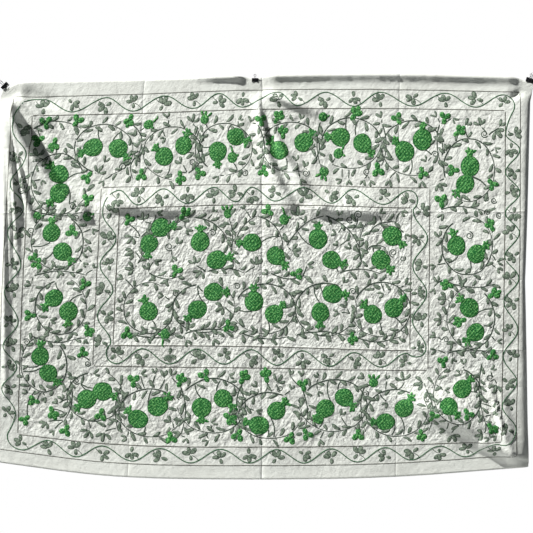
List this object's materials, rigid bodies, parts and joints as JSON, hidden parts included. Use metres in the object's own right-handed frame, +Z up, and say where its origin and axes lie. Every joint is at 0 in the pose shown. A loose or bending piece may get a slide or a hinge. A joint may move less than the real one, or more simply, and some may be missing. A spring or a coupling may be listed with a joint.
{
  "type": "embroidered suzani hanging with spring clips",
  "caption": "Wide embroidered cotton hanging with framed borders of pomegranates and vines, held along its top edge by black spring clips that draw it into soft folds.",
  "frame": {"origin": "the middle of the top edge, in the cloth's middle layer, where the middle clip holds it", "axes": "+X along the top edge to the right as seen from the front, +Y towards the back, +Z up"},
  "size_m": [2.1864, 0.1921, 1.6093],
  "materials": {
    "cotton": "plain off-white weave",
    "black_steel": "satin black",
    "black_wire": "satin black"
  },
  "bodies": {
    "root": {"cloth": "cotton", "left_clip_body": "black_steel", "left_clip_front_handle": "black_wire", "left_clip_rear_handle": "black_wire", "centre_clip_body": "black_steel", "centre_clip_front_handle": "black_wire", "centre_clip_rear_handle": "black_wire", "right_clip_body": "black_steel", "right_clip_front_handle": "black_wire", "right_clip_rear_handle": "black_wire"}
  },
  "joints": []
}
